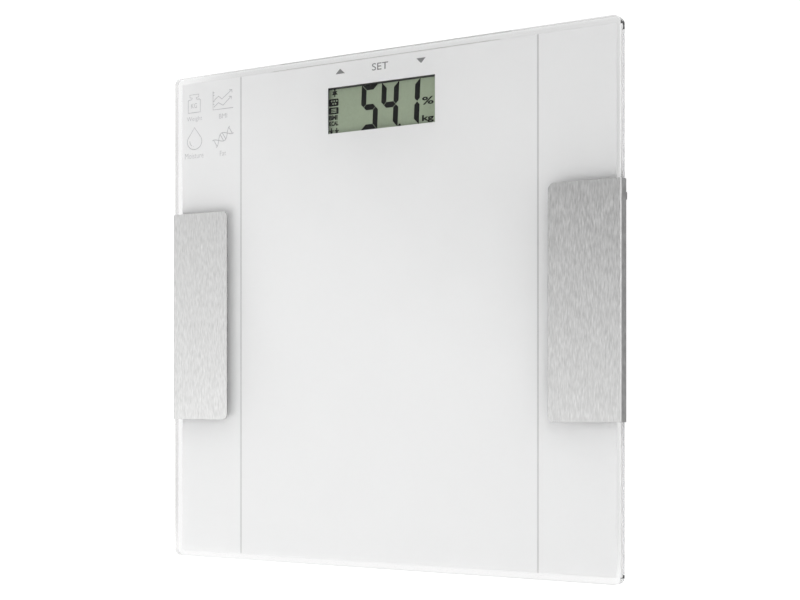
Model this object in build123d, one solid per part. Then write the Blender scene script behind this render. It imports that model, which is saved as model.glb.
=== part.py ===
from build123d import *
import os

# Digital bathroom scale: a square glass platform on four load-cell feet, with a printed
# underside, a clip-on steel electrode on each side edge, and a control unit with an LCD
# under the glass at the display end.
#
# Millimetres. The scale lies on its feet: +Z is up, +X is to the right of someone reading
# the display, and +Y points at the display end. The origin is on the floor, under the
# centre of the platform.

# ---- platform ----------------------------------------------------------------------
PLATFORM_SIDE = 300.0
GLASS_THICKNESS = 6.0
GLASS_UNDERSIDE = 16.0
GLASS_CORNER = 4.0
GLASS_ARRIS = 0.7
GLASS_TOP = GLASS_UNDERSIDE + GLASS_THICKNESS

PRINT_BORDER = 3.5
PRINT_CORNER = 1.5
PRINT_THICKNESS = 0.25
UNDERSIDE = GLASS_UNDERSIDE - PRINT_THICKNESS
WINDOW = (72.7, 27.1)
WINDOW_Y = 118.7

# ---- electrodes --------------------------------------------------------------------
SHEET = 0.5
BEND = 0.5
ELECTRODE_LENGTH = 128.5
ELECTRODE_REACH = 42.3
ELECTRODE_UNDER_REACH = 24.0
ELECTRODE_STANDOFF = 0.4
ELECTRODE_CORNER = 3.5
ELECTRODE_OUTSIDE = PLATFORM_SIDE / 2 + ELECTRODE_STANDOFF + SHEET
ELECTRODE_BOTTOM = UNDERSIDE - SHEET
TERMINAL = (7.2, 4.4, 5.5)
TERMINAL_AT = (145.5, 56.0)
TERMINAL_ROUNDING = 0.8

# ---- control unit ------------------------------------------------------------------
UNIT = (164.0, 62.0)
UNIT_Y = 116.0
UNIT_CORNER = 6.0
UNIT_WALL = 1.8
UNIT_ROOF = 1.5
UNIT_TOP = UNDERSIDE - 0.5
UNIT_SPLIT = 5.6
UNIT_BOTTOM = 3.6
BOSS_INSET = (4.4, 3.8)
BOSS_RADIUS = 2.8
POST_RADIUS = 2.4
COVER_SCREW = {"head_height": 1.1, "head_radius": 2.1, "shank_radius": 1.1, "shank_length": 7.0}
BOARD_SCREW = {"head_height": 0.9, "head_radius": 1.7, "shank_radius": 0.8, "shank_length": 4.2}
SCREW_FIT = 0.02
CROSS_WIDTH = 0.5
PILOT_END = 0.5
COVER_ROUNDING = 1.2
RIM_PLAY = 0.2
RIM_WALL = 1.2
RIM_HEIGHT = 1.4
RIM_CORNER = 2.0
BOSS_PLAY = 0.5
SCREW_PLAY = 0.2
HEAD_PLAY = 0.3
HEAD_LOW = UNIT_BOTTOM + 0.1

LCD = (82.0, 34.0, 1.6)
LCD_TOP = 12.95
HOOD_OPENING = (77.0, 27.3)
HOOD_OUTSIDE = (82.0, 35.0)
HOOD_PLAY = 0.5
HOOD_TOP = UNDERSIDE - 0.05
LCD_STEP = 2.4
FOIL_THICKNESS = 0.15
FOIL_INSET = 6.0
STRIP_WIDTH = 2.0
BOARD_X = (-51.0, 74.0)
BOARD_Y = (92.0, 144.6)
BOARD_BOTTOM = 8.4
BOARD_TOP = 9.6
BOARD_CORNER = 2.0
BOARD_PLAY = 0.6
CHIP_AT = (0.0, 112.0)
CRYSTAL_AT = (14.0, 112.0)
BOARD_SCREWS = [(-45.5, 104.5), (-45.5, 126.0), (45.5, 104.5), (45.5, 126.0)]
KEY_X = (-27.4, 0.0, 27.4)
KEY_Y = 141.2
KEY_PILLAR = 5.0
KEY_HOLE = 6.4

# ---- battery bay, a hinged door over one coin cell ----------------------------------
CELL_AT = (-65.0, 115.0)
CELL_RADIUS = 10.0
CELL_HEIGHT = 3.2
CELL_BOTTOM = 5.6
DOOR_WIDTH = 24.2
DOOR_LENGTH = 26.2
DOOR_THICKNESS = 1.3
DOOR_GAP = 0.4
HINGE_Y = CELL_AT[1] - DOOR_LENGTH / 2
HINGE_Z = 4.6
HINGE_RADIUS = 0.7
HINGE_PIN_RADIUS = 0.5
HINGE_FIT = 0.05
HINGE_GAP = 0.6
PIN_LENGTH = 0.9
PIN_HOLE_DEPTH = 1.2
DOOR_CORNER = 1.0
THUMB_RADIUS = 4.0
THUMB_DEPTH = 0.8
GRIP = (9.0, 0.8)
GRIP_DEPTH = 0.35
GRIP_PITCH = 1.8
GRIP_EDGE = 3.0
BAY = (27.4, 29.4)
BAY_TOP = BOARD_TOP + 0.4
CELL_PLAY = 0.4
CELL_RIM = 0.3
POLE_RADIUS = CELL_RADIUS - 1.4
LEAF_SLOT = (26.0, 7.0)
SIDE_SLOT = (6.0, 1.6)
PAD_ON_DOOR_RADIUS = 6.0

# ---- unit button -------------------------------------------------------------------
BUTTON_AT = (65.0, 115.0)
BUTTON_RADIUS = 4.2
BUTTON_BOTTOM = 3.0
BUTTON_FLANGE_Z = 5.9
BUTTON_FLANGE_TOP = 6.4
BUTTON_FLANGE = 1.4
BUTTON_DISH = 0.25
BUTTON_PLAY = 0.4
PLUNGER_RADIUS = 1.5
SWITCH_BOTTOM = 7.3
SWITCH_SIDE = 6.0

# ---- feet --------------------------------------------------------------------------
FOOT_X = 114.0
FOOT_Y = 112.0
FOOT_RADIUS = 25.0
FOOT_WALL = 2.5
FOOT_TOP = UNDERSIDE - 0.3
FOOT_ROOF = 1.5
FOOT_LIP = (5.6, 6.4)
FOOT_LIP_RADIUS = 21.0
FOOT_ROUNDING = 1.0
FOOT_CAVITY_RADIUS = 18.5
FOOT_NOTCH = (24.0, 3.0)
CELL_PLATE = (34.0, 7.0, 1.6)
CELL_PLATE_BOTTOM = 10.0
CELL_PLATE_TOP = CELL_PLATE_BOTTOM + CELL_PLATE[2]
GAUGE = (9.0, 7.0, 1.1)
CUP_RADIUS = 20.3
CUP_BOTTOM = 2.4
CUP_TOP = 8.2
CUP_WALL = 1.8
CUP_FLOOR = 2.2
CUP_FLANGE = 1.5
CUP_FLANGE_LOW = FOOT_LIP[1] + 0.35
CUP_RIB = (36.0, 1.4)
POST = (4.5, 0.9)
PAD_RADIUS = 19.3
PAD_ROUNDING = 0.7
PAD_PLUG = 0.8
PAD_GROOVE = (14.0, 12.5, 0.8)

# ---- leads -------------------------------------------------------------------------
LEAD_Z = 12.75
CELL_LEAD_RADIUS = 0.9
ELECTRODE_LEAD_RADIUS = 0.65
LEAD_CLEARANCE = 0.3
CHANNEL_X = 104.0
CHANNEL_Y = (-82.0, 30.0)
CHANNEL_WIDTH = 6.4
CHANNEL_WALL = 1.0
CHANNEL_BOTTOM = 10.2
CHANNEL_ROUNDING = 0.8

FRONT_LEAD = [(114.0, -96.0), (104.0, -78.0), (104.0, 36.0), (40.0, 64.0), (40.0, 93.2)]
REAR_LEAD = [(102.0, 121.0), (84.0, 130.3), (50.0, 134.0)]
ELECTRODE_LEAD = [(141.8, 56.0), (113.0, 60.0), (94.0, 91.0), (50.4, 97.0)]
CLIP_AT = (103.5, 75.5)
CLIP_ANGLE = -58.5
CLIP = (8.0, 6.0)
CLIP_BOTTOM = 11.5
CLIP_FIT = 0.1

SIDES = {"right": 1, "left": -1}
CORNERS = {
    "front_right": (1, -1),
    "front_left": (-1, -1),
    "rear_right": (1, 1),
    "rear_left": (-1, 1),
}


# ---- small helpers -----------------------------------------------------------------
def block(width, depth, z_low, z_high, centre=(0.0, 0.0), corner=0.0):
    """Upright block between two heights, with rounded vertical edges if corner is given."""
    outline = RectangleRounded(width, depth, corner) if corner else Rectangle(width, depth)
    return Pos(centre[0], centre[1], z_low) * extrude(outline, z_high - z_low)


def disc(radius, z_low, z_high, centre=(0.0, 0.0)):
    """Upright round disc between two heights."""
    return Pos(centre[0], centre[1], z_low) * extrude(Circle(radius), z_high - z_low)


def ring(outer, inner, z_low, z_high, centre=(0.0, 0.0)):
    """Upright ring between two heights."""
    return disc(outer, z_low, z_high, centre) - disc(inner, z_low - 1, z_high + 1, centre)


def group(solids):
    """Separate solids of one kind, kept as one node."""
    return Part() + list(solids)


def on_side(shape, side):
    """The right-hand shape, or its mirror image for the left."""
    return shape if side > 0 else mirror(shape, about=Plane.YZ)


def lead(points, radius):
    """Round wire along straight runs joined by tangent arcs, all at the leads' height."""
    route = [Vector(x, y, LEAD_Z) for x, y in points]
    runs = [b - a for a, b in zip(route, route[1:])]
    radii = []
    for before, after in zip(runs, runs[1:]):
        half_turn = before.get_angle(after) / 2
        radii.append(0.3 * min(before.length, after.length) / max(tan_degrees(half_turn), 0.2))
    path = FilletPolyline(*route, radius=radii)
    start = Plane(origin=path @ 0, z_dir=path % 0)
    return sweep(start * Circle(radius), path=path)


def tan_degrees(angle):
    """Tangent of an angle in degrees."""
    slope = Vector(1, 0, 0).rotate(Axis.Z, angle)
    return slope.Y / slope.X


# ---- platform ----------------------------------------------------------------------
def glass_platform():
    """Tempered glass slab with rounded corners and polished arrises."""
    slab = block(PLATFORM_SIDE, PLATFORM_SIDE, GLASS_UNDERSIDE, GLASS_TOP, corner=GLASS_CORNER)
    rims = slab.edges().group_by(Axis.Z)
    return fillet(rims[0] + rims[-1], GLASS_ARRIS)


def printed_film():
    """Opaque white print under the glass, open at the display window."""
    side = PLATFORM_SIDE - 2 * PRINT_BORDER
    film = block(side, side, UNDERSIDE, GLASS_UNDERSIDE, corner=PRINT_CORNER)
    return film - block(*WINDOW, UNDERSIDE - 1, GLASS_UNDERSIDE + 1, (0, WINDOW_Y))


def electrode():
    """Right-hand electrode: one bent strip that grips the glass edge from above and below."""
    inside_x = ELECTRODE_OUTSIDE - SHEET
    tip_x = ELECTRODE_OUTSIDE - ELECTRODE_REACH
    middle_x = ELECTRODE_OUTSIDE - ELECTRODE_REACH / 2
    top = GLASS_TOP + SHEET
    strip = block(ELECTRODE_REACH, ELECTRODE_LENGTH, ELECTRODE_BOTTOM, top, (middle_x, 0))
    outer_bends = strip.edges().filter_by(Axis.Y).group_by(Axis.X)[-1]
    strip = fillet(outer_bends, BEND + SHEET)
    hollow_x = inside_x - ELECTRODE_REACH / 2
    hollow = block(ELECTRODE_REACH, ELECTRODE_LENGTH + 2, UNDERSIDE, GLASS_TOP, (hollow_x, 0))
    inner_bends = hollow.edges().filter_by(Axis.Y).group_by(Axis.X)[-1]
    strip -= fillet(inner_bends, BEND)
    spare = ELECTRODE_REACH - ELECTRODE_UNDER_REACH
    strip -= block(2 * spare, ELECTRODE_LENGTH + 2, ELECTRODE_BOTTOM - 1, UNDERSIDE + 1, (tip_x, 0))
    corners = strip.edges().filter_by(Axis.Z).filter_by(lambda e: e.length < 1.5 * SHEET)
    return fillet(corners, ELECTRODE_CORNER)


def terminal_cap():
    """Insulated solder terminal that stands under the electrode's lower flange."""
    width, depth, height = TERMINAL
    cap = block(width, depth, ELECTRODE_BOTTOM - height, ELECTRODE_BOTTOM, TERMINAL_AT)
    return fillet(cap.edges().filter_by(Axis.Z) + cap.edges().group_by(Axis.Z)[0], TERMINAL_ROUNDING)


# ---- control unit ------------------------------------------------------------------
def boss_places():
    """Centres of the four cover screws."""
    half_x = UNIT[0] / 2 - BOSS_INSET[0]
    half_y = UNIT[1] / 2 - BOSS_INSET[1]
    return [(x * half_x, UNIT_Y + y * half_y) for x in (-1, 1) for y in (-1, 1)]


def lead_holes():
    """Clearance round every lead, for cutting the walls that they cross."""
    wide = CELL_LEAD_RADIUS + LEAD_CLEARANCE
    narrow = ELECTRODE_LEAD_RADIUS + LEAD_CLEARANCE
    right = [lead(FRONT_LEAD, wide), lead(REAR_LEAD, wide), lead(ELECTRODE_LEAD, narrow)]
    return right + [mirror(tube, about=Plane.YZ) for tube in right]


def control_housing():
    """Upper shell of the control unit, stuck under the glass, open below."""
    inside = [side - 2 * UNIT_WALL for side in UNIT]
    shell = block(*UNIT, UNIT_SPLIT, UNIT_TOP, (0, UNIT_Y), UNIT_CORNER)
    roof = UNIT_TOP - UNIT_ROOF
    shell -= block(*inside, UNIT_SPLIT - 1, roof, (0, UNIT_Y), UNIT_CORNER - UNIT_WALL)
    shell += [disc(BOSS_RADIUS, UNIT_SPLIT, UNIT_TOP, place) for place in boss_places()]
    shell += [disc(POST_RADIUS, BOARD_TOP, UNIT_TOP, place) for place in BOARD_SCREWS]
    wide = COVER_SCREW["shank_radius"] + SCREW_FIT
    narrow = BOARD_SCREW["shank_radius"] + SCREW_FIT
    shell -= [disc(wide, UNIT_SPLIT - 1, roof - PILOT_END, place) for place in boss_places()]
    shell -= [disc(narrow, BOARD_TOP - 1, roof, place) for place in BOARD_SCREWS]
    hood_hole = [side + 2 * HOOD_PLAY for side in HOOD_OUTSIDE]
    shell -= block(*hood_hole, UNIT_SPLIT, UNIT_TOP + 1, (0, WINDOW_Y))
    shell -= [block(KEY_HOLE, KEY_HOLE, UNIT_SPLIT, UNIT_TOP + 1, (x, KEY_Y)) for x in KEY_X]
    return shell - lead_holes()


def housing_tape():
    """Foam tape ring between the housing's rim and the print."""
    inside = [side - 2 * UNIT_WALL for side in UNIT]
    tape = block(*UNIT, UNIT_TOP, UNDERSIDE, (0, UNIT_Y), UNIT_CORNER)
    return tape - block(*inside, UNIT_TOP - 1, UNDERSIDE + 1, (0, UNIT_Y), UNIT_CORNER - UNIT_WALL)


def door_opening(z_low, z_high):
    """Space in the cover for the battery door, with play at the hinge and round the rim."""
    near = HINGE_Y - HINGE_RADIUS - HINGE_GAP
    far = HINGE_Y + DOOR_LENGTH + DOOR_GAP
    middle = (CELL_AT[0], (near + far) / 2)
    return block(DOOR_WIDTH + 2 * DOOR_GAP, far - near, z_low, z_high, middle)


def hinge_bar(radius, length):
    """Cylinder on the door's hinge axis."""
    return Pos(CELL_AT[0], HINGE_Y, HINGE_Z) * Rot(0, 90, 0) * Cylinder(radius, length)


def control_cover():
    """Bottom of the control unit, with the battery bay, the button hole and the screw holes."""
    plate = block(*UNIT, UNIT_BOTTOM, UNIT_SPLIT, (0, UNIT_Y), UNIT_CORNER)
    plate = fillet(plate.edges().group_by(Axis.Z)[0], COVER_ROUNDING)
    lip = [side - 2 * (UNIT_WALL + RIM_PLAY) for side in UNIT]
    rim = block(*lip, UNIT_SPLIT, UNIT_SPLIT + RIM_HEIGHT, (0, UNIT_Y), UNIT_CORNER - UNIT_WALL)
    inner = [side - 2 * RIM_WALL for side in lip]
    rim -= block(*inner, UNIT_SPLIT - 1, UNIT_SPLIT + RIM_HEIGHT + 1, (0, UNIT_Y), RIM_CORNER)
    boss = BOSS_RADIUS + BOSS_PLAY
    rim -= [disc(boss, UNIT_SPLIT - 1, UNIT_SPLIT + RIM_HEIGHT + 1, place) for place in boss_places()]
    cover = plate + rim
    bay = block(*BAY, UNIT_SPLIT, BAY_TOP, CELL_AT, 1.0)
    cover = cover + bay
    cover -= disc(CELL_RADIUS + CELL_PLAY, UNIT_BOTTOM, CELL_BOTTOM + CELL_HEIGHT + 0.2, CELL_AT)
    cover -= door_opening(UNIT_BOTTOM - 1, UNIT_SPLIT)
    cover -= hinge_bar(HINGE_PIN_RADIUS + HINGE_FIT, DOOR_WIDTH + 2 * DOOR_GAP + 2 * PIN_HOLE_DEPTH)
    thumb = (CELL_AT[0], HINGE_Y + DOOR_LENGTH + 1.6)
    cover -= disc(THUMB_RADIUS, UNIT_BOTTOM - 1, UNIT_BOTTOM + THUMB_DEPTH, thumb)
    cover -= block(*LEAF_SLOT, BOARD_BOTTOM, BOARD_TOP + 1, (CELL_AT[0] + 9.0, CELL_AT[1]))
    side_slot = (CELL_AT[0], CELL_AT[1] - CELL_RADIUS - 0.8)
    cover -= block(*SIDE_SLOT, UNIT_SPLIT, BOARD_TOP + 1, side_slot)
    cover -= disc(BUTTON_RADIUS + BUTTON_PLAY, UNIT_BOTTOM - 1, UNIT_SPLIT + 1, BUTTON_AT)
    shank = COVER_SCREW["shank_radius"] + SCREW_PLAY
    head = COVER_SCREW["head_radius"] + HEAD_PLAY
    for place in boss_places():
        cover -= disc(shank, UNIT_BOTTOM - 1, UNIT_SPLIT + 1, place)
        cover -= disc(head, UNIT_BOTTOM - 1, HEAD_LOW + COVER_SCREW["head_height"], place)
    return cover


def screw(place, head_low, head_height, head_radius, shank_radius, shank_length):
    """Pan-head screw, driven upwards, with a cross recess in its head."""
    head_top = head_low + head_height
    body = disc(head_radius, head_low, head_top, place)
    body += disc(shank_radius, head_top, head_top + shank_length, place)
    for width, depth in ((head_radius, CROSS_WIDTH), (CROSS_WIDTH, head_radius)):
        body -= block(width, depth, head_low - 1, head_low + 0.5 * head_height, place)
    return body


def cover_screws():
    """Four screws that hold the cover to the housing's bosses."""
    return group(screw(place, HEAD_LOW, **COVER_SCREW) for place in boss_places())


def board_screws():
    """Four screws that hold the board to the housing's posts."""
    low = BOARD_BOTTOM - BOARD_SCREW["head_height"]
    return group(screw(place, low, **BOARD_SCREW) for place in BOARD_SCREWS)


def display_hood():
    """Dark frame that fills the gap between the LCD and the window."""
    hood = block(*HOOD_OUTSIDE, LCD_TOP, HOOD_TOP, (0, WINDOW_Y), 1.0)
    return hood - block(*HOOD_OPENING, LCD_TOP - 1, UNDERSIDE + 1, (0, WINDOW_Y))


def lcd_panel():
    """Two-plate LCD: the front plate is shallower than the rear one, which carries the contacts."""
    width, depth, height = LCD
    rear = block(width, depth, LCD_TOP - height, LCD_TOP - height / 2, (0, WINDOW_Y))
    front = block(width, depth - LCD_STEP, LCD_TOP - height / 2, LCD_TOP, (0, WINDOW_Y))
    return rear + front


def lcd_reflector():
    """Reflective sheet behind the LCD."""
    width, depth, height = LCD
    top = LCD_TOP - height
    return block(width, depth - FOIL_INSET, top - FOIL_THICKNESS, top, (0, WINDOW_Y))


def contact_strips():
    """Two elastomer strips that join the LCD to the board."""
    width, depth, height = LCD
    offset = depth / 2 - LCD_STEP / 2
    return group(
        block(width - 2, STRIP_WIDTH, BOARD_TOP, LCD_TOP - height, (0, WINDOW_Y + side * offset))
        for side in (-1, 1)
    )


def board_middle():
    """Centre of the main board."""
    return (sum(BOARD_X) / 2, sum(BOARD_Y) / 2)


def main_board():
    """Circuit board, screwed to the housing's posts."""
    width = BOARD_X[1] - BOARD_X[0]
    depth = BOARD_Y[1] - BOARD_Y[0]
    board = block(width, depth, BOARD_BOTTOM, BOARD_TOP, board_middle(), BOARD_CORNER)
    hole = BOARD_SCREW["shank_radius"] + SCREW_PLAY
    board -= [disc(hole, BOARD_BOTTOM - 1, BOARD_TOP + 1, place) for place in BOARD_SCREWS]
    boss = BOSS_RADIUS + BOARD_PLAY
    near = [(x, y) for x, y in boss_places() if x > 0]
    return board - [disc(boss, BOARD_BOTTOM - 1, BOARD_TOP + 1, place) for place in near]


def board_parts():
    """Chip under its resin, crystal and capacitors on the board's underside."""
    resin = disc(5.5, BOARD_BOTTOM - 1.4, BOARD_BOTTOM, CHIP_AT)
    parts = [fillet(resin.edges().group_by(Axis.Z)[0], 1.0)]
    parts.append(block(3.2, 8.0, BOARD_BOTTOM - 1.2, BOARD_BOTTOM, CRYSTAL_AT, 1.2))
    parts += [block(2.0, 1.2, BOARD_BOTTOM - 0.8, BOARD_BOTTOM, (x, 126)) for x in range(-20, 30, 8)]
    return group(parts)


def lead_connectors():
    """White headers on the board, one for each lead."""
    ends = [(40.0, 95.7, 5.0), (47.3, 134.0, 5.0), (48.2, 97.3, 4.0)]
    return group(
        block(width, width, BOARD_TOP, BOARD_TOP + 4.0, (side * x, y))
        for x, y, width in ends
        for side in SIDES.values()
    )


def touch_pads():
    """Conductive foam pillars that carry the three touch keys' field up to the print."""
    return group(block(KEY_PILLAR, KEY_PILLAR, BOARD_TOP, UNDERSIDE, (x, KEY_Y), 0.8) for x in KEY_X)


def coin_cell():
    """CR2032-size cell: the can is its full width, and the small pole faces the board."""
    can_top = CELL_BOTTOM + CELL_HEIGHT - CELL_RIM
    can = disc(CELL_RADIUS, CELL_BOTTOM, can_top, CELL_AT)
    can = fillet(can.edges(), CELL_RIM)
    return can + disc(POLE_RADIUS, can_top, CELL_BOTTOM + CELL_HEIGHT, CELL_AT)


def battery_contact_negative():
    """Leaf spring from the board to the middle of the cell's small pole."""
    touch = CELL_BOTTOM + CELL_HEIGHT
    line = Polyline(
        (BOARD_X[0] + 5.0, CELL_AT[1], BOARD_TOP + 0.2),
        (BOARD_X[0] - 2.0, CELL_AT[1], BOARD_TOP + 0.2),
        (CELL_AT[0] + 4.0, CELL_AT[1], touch + 0.2),
        (CELL_AT[0] - 1.0, CELL_AT[1], touch + 0.2),
    )
    strip = Plane(origin=line @ 0, z_dir=line % 0) * Rectangle(0.4, 5.0)
    return sweep(strip, path=line, transition=Transition.RIGHT)


def battery_contact_positive():
    """Side spring against the cell's can, with a tab that runs to the board."""
    y = CELL_AT[1] - CELL_RADIUS - 0.2
    blade = block(5.0, 0.4, UNIT_SPLIT + 0.4, BOARD_TOP + 0.8, (CELL_AT[0], y))
    end = BOARD_X[0] + 2.0
    middle = ((end + CELL_AT[0]) / 2, y)
    run = block(end - CELL_AT[0], 2.0, BOARD_TOP + 0.4, BOARD_TOP + 0.8, middle)
    foot = block(1.6, 2.0, BOARD_TOP, BOARD_TOP + 0.8, (end - 0.8, y))
    return blade + run + foot


# ---- battery door ------------------------------------------------------------------
def battery_door():
    """Door plate with a rounded hinge edge, two hinge pins and a grip rib."""
    plate_middle = (CELL_AT[0], HINGE_Y + DOOR_LENGTH / 2)
    top = UNIT_BOTTOM + DOOR_THICKNESS
    door = block(DOOR_WIDTH, DOOR_LENGTH, UNIT_BOTTOM, top, plate_middle)
    far_corners = door.edges().filter_by(Axis.Z).group_by(Axis.Y)[-1]
    door = fillet(far_corners, DOOR_CORNER)
    door += hinge_bar(HINGE_RADIUS, DOOR_WIDTH)
    door += hinge_bar(HINGE_PIN_RADIUS, DOOR_WIDTH + 2 * DOOR_GAP + 2 * PIN_LENGTH)
    far = HINGE_Y + DOOR_LENGTH - GRIP_EDGE
    grips = [(CELL_AT[0], far - GRIP_PITCH * row) for row in range(3)]
    return door - [block(*GRIP, UNIT_BOTTOM - 1, UNIT_BOTTOM + GRIP_DEPTH, place) for place in grips]


def cell_pad():
    """Foam pad on the door that keeps the cell against its contacts."""
    low = UNIT_BOTTOM + DOOR_THICKNESS
    return disc(PAD_ON_DOOR_RADIUS, low, CELL_BOTTOM, CELL_AT)


# ---- unit button -------------------------------------------------------------------
def unit_button():
    """Push button in the cover that changes the weight's unit."""
    cap = disc(BUTTON_RADIUS, BUTTON_BOTTOM, BUTTON_FLANGE_TOP, BUTTON_AT)
    cap = fillet(cap.edges().group_by(Axis.Z)[0], 0.5)
    cap -= disc(BUTTON_RADIUS - 1.2, BUTTON_BOTTOM - 1, BUTTON_BOTTOM + BUTTON_DISH, BUTTON_AT)
    return cap + disc(BUTTON_RADIUS + BUTTON_FLANGE, BUTTON_FLANGE_Z, BUTTON_FLANGE_TOP, BUTTON_AT)


def switch_plunger():
    """Plunger that stands on the button and reaches into the switch."""
    return disc(PLUNGER_RADIUS, BUTTON_FLANGE_TOP, SWITCH_BOTTOM + 0.3, BUTTON_AT)


def switch_body():
    """Tactile switch on the board's underside."""
    body = block(SWITCH_SIDE, SWITCH_SIDE, SWITCH_BOTTOM, BOARD_BOTTOM, BUTTON_AT, 0.4)
    return body - disc(PLUNGER_RADIUS + 0.4, SWITCH_BOTTOM - 1, BOARD_BOTTOM - 0.1, BUTTON_AT)


# ---- feet, each made round the origin and then set at its corner ---------------------
def foot_housing():
    """Round cup stuck under the glass, with a seat for the load cell and a retaining lip."""
    inside = FOOT_RADIUS - FOOT_WALL
    body = disc(FOOT_RADIUS, FOOT_LIP[0], FOOT_TOP)
    body = fillet(body.edges().group_by(Axis.Z)[0], FOOT_ROUNDING)
    body -= disc(inside, FOOT_LIP[1], CELL_PLATE_TOP)
    body -= disc(FOOT_LIP_RADIUS, FOOT_LIP[0] - 1, FOOT_LIP[1] + 1)
    return body - disc(FOOT_CAVITY_RADIUS, FOOT_LIP[1], FOOT_TOP - FOOT_ROOF)


def load_cell():
    """Stamped steel half-bridge cell: an outer frame and a tongue joined at one end."""
    side, corner, _ = CELL_PLATE
    low, high = CELL_PLATE_BOTTOM - 1, CELL_PLATE_TOP + 1
    plate = block(side, side, CELL_PLATE_BOTTOM, CELL_PLATE_TOP, corner=corner)
    plate -= block(21, 23, low, high) - block(15, 24, low, high, (0, 2.0))
    return plate - [disc(1.2, low, high, (x, y)) for x in (-13.5, 13.5) for y in (-9.0, 9.0)]


def strain_gauge():
    """Resin that covers the gauge on the tongue's root."""
    width, depth, height = GAUGE
    resin = block(width, depth, CELL_PLATE_TOP, CELL_PLATE_TOP + height, (0, 10.0), 1.5)
    return fillet(resin.edges().group_by(Axis.Z)[-1], 0.5)


def foot_cup():
    """Moving cup, kept in the housing by its flange, with a post under the cell's tongue."""
    cup = disc(CUP_RADIUS, CUP_BOTTOM, CUP_TOP)
    cup += disc(CUP_RADIUS + CUP_FLANGE, CUP_FLANGE_LOW, CUP_TOP)
    cup -= disc(CUP_RADIUS - CUP_WALL, CUP_BOTTOM + CUP_FLOOR, CUP_TOP + 1)
    post_radius, post_rise = POST
    cup += disc(post_radius, CUP_BOTTOM, CUP_TOP + post_rise)
    cup += [Rot(0, 0, 60 * turn) * block(*CUP_RIB, CUP_BOTTOM + 1, CUP_TOP - 1) for turn in range(3)]
    return cup - disc(PAD_RADIUS - 2.0, CUP_BOTTOM - 1, CUP_BOTTOM + PAD_PLUG)


def foot_pad():
    """Rubber sole with a round groove, pressed into the cup's recess."""
    pad = disc(PAD_RADIUS, 0.0, CUP_BOTTOM)
    pad = fillet(pad.edges().group_by(Axis.Z)[0], PAD_ROUNDING)
    outer, inner, depth = PAD_GROOVE
    pad -= ring(outer, inner, -1, depth)
    return pad + disc(PAD_RADIUS - 2.1, CUP_BOTTOM, CUP_BOTTOM + PAD_PLUG - 0.05)


def at_corner(shape, corner):
    """A foot's piece set at one corner, turned so that its gauge faces the middle."""
    side_x, side_y = corner
    turned = Rot(0, 0, 180) * shape if side_y > 0 else shape
    return Pos(side_x * FOOT_X, side_y * FOOT_Y, 0) * turned


def lead_notch(route):
    """Slot over the load cell through which a lead leaves its foot, on the right-hand side."""
    start = Vector(*route[0])
    along = (Vector(*route[1]) - start).normalized()
    middle = start + along * (FOOT_NOTCH[0] / 2)
    angle = Vector(1, 0, 0).get_signed_angle(along, Vector(0, 0, 1))
    slot = block(*FOOT_NOTCH, CELL_PLATE_TOP, FOOT_TOP - FOOT_ROOF)
    return Pos(middle.X, middle.Y, 0) * Rot(0, 0, angle) * slot


def foot_tapes():
    """Adhesive discs between the feet and the print."""
    tape = disc(FOOT_RADIUS - 0.5, FOOT_TOP, UNDERSIDE)
    return group(at_corner(tape, corner) for corner in CORNERS.values())


# ---- leads and what holds them -------------------------------------------------------
def wire_channel():
    """Right-hand trunking stuck under the glass over the front foot's lead."""
    length = CHANNEL_Y[1] - CHANNEL_Y[0]
    middle = (CHANNEL_X, sum(CHANNEL_Y) / 2)
    inside = CHANNEL_WIDTH - 2 * CHANNEL_WALL
    trunk = block(CHANNEL_WIDTH, length, CHANNEL_BOTTOM, UNDERSIDE, middle)
    trunk = fillet(trunk.edges().filter_by(Axis.Y).group_by(Axis.Z)[0], CHANNEL_ROUNDING)
    trunk -= block(inside, length + 2, CHANNEL_BOTTOM + CHANNEL_WALL, UNDERSIDE + 1, middle)
    return trunk - lead(FRONT_LEAD, CELL_LEAD_RADIUS + LEAD_CLEARANCE)


def lead_clips():
    """Adhesive saddles that hold the electrode leads."""
    place = Pos(CLIP_AT[0], CLIP_AT[1], 0) * Rot(0, 0, CLIP_ANGLE)
    saddle = place * block(*CLIP, CLIP_BOTTOM, UNDERSIDE)
    saddle -= lead(ELECTRODE_LEAD, ELECTRODE_LEAD_RADIUS + CLIP_FIT)
    return group([saddle, mirror(saddle, about=Plane.YZ)])


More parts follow.
